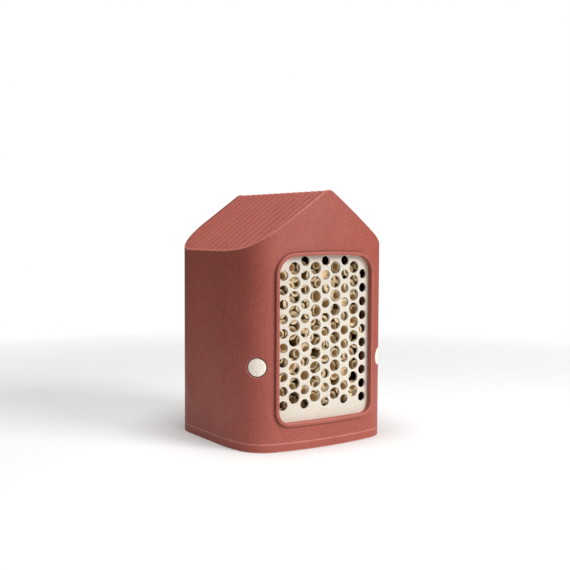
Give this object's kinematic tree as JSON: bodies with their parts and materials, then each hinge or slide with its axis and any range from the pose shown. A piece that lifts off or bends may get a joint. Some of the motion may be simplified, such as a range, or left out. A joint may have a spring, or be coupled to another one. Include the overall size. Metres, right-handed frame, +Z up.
{
  "type": "insect hotel",
  "caption": "House-shaped garden insect hotel: a moulded shell with ribbed gable roof and holed grille over a lift-out tray of bamboo tubes, with two press buttons.",
  "frame": {"origin": "middle of the footprint on the ground, under the middle of the house", "axes": "+Z up, -Y out of the front through the grille, +X to the right of a person who looks along +Y"},
  "size_m": [0.18, 0.175, 0.2599],
  "materials": {
    "brick_plastic": "fine-grained matte moulding with pale and dark specks",
    "cream_plastic": "smooth matte moulding",
    "bamboo": "sawn and dried cane, matt ends, darker bores",
    "spring_steel": "drawn wire"
  },
  "bodies": {
    "tray": {"tray": "brick_plastic", "bamboo_layer_01": "bamboo", "bamboo_layer_02": "bamboo", "bamboo_layer_03": "bamboo", "bamboo_layer_04": "bamboo", "bamboo_layer_05": "bamboo", "bamboo_layer_06": "bamboo", "bamboo_layer_07": "bamboo", "bamboo_layer_08": "bamboo", "bamboo_layer_09": "bamboo", "bamboo_layer_10": "bamboo", "bamboo_layer_11": "bamboo", "bamboo_layer_12": "bamboo", "bamboo_layer_13": "bamboo", "bamboo_layer_14": "bamboo"},
    "house": {"shell": "brick_plastic", "grille": "cream_plastic", "button_retainer_left": "brick_plastic", "button_retainer_right": "brick_plastic", "button_spring_left": "spring_steel", "button_spring_right": "spring_steel"},
    "button_left": {"button_left": "cream_plastic"},
    "button_right": {"button_right": "cream_plastic"},
    "latch_finger_left": {"latch_finger_left": "brick_plastic"},
    "latch_finger_right": {"latch_finger_right": "brick_plastic"}
  },
  "joints": [
    {"name": "house_lift", "type": "slide", "parent": "tray", "child": "house", "axis": [0, 0, 1], "range_m": [0, 0.25]},
    {"name": "button_left_press", "type": "slide", "parent": "house", "child": "button_left", "axis": [0.6947, 0.7193, 0], "range_m": [0, 0.003], "stiffness_N_per_m": 800, "springref_m": -0.001, "deforming": ["button_spring_left"]},
    {"name": "button_right_press", "type": "slide", "parent": "house", "child": "button_right", "axis": [-0.6947, 0.7193, 0], "range_m": [0, 0.003], "stiffness_N_per_m": 800, "springref_m": -0.001, "deforming": ["button_spring_right"]},
    {"name": "latch_left_flex", "type": "hinge", "parent": "tray", "child": "latch_finger_left", "pos_m": [-0.0654, -0.05838, 0.0161], "axis": [-0.7193, 0.6947, 0], "range_deg": [0, 2.6]},
    {"name": "latch_right_flex", "type": "hinge", "parent": "tray", "child": "latch_finger_right", "pos_m": [0.0654, -0.05838, 0.0161], "axis": [-0.7193, -0.6947, 0], "range_deg": [0, 2.6]}
  ],
  "couplings": [
    {"joint": "latch_left_flex", "follows": "button_left_press", "rad_per_m": 14.842},
    {"joint": "latch_right_flex", "follows": "button_right_press", "rad_per_m": 14.842}
  ]
}
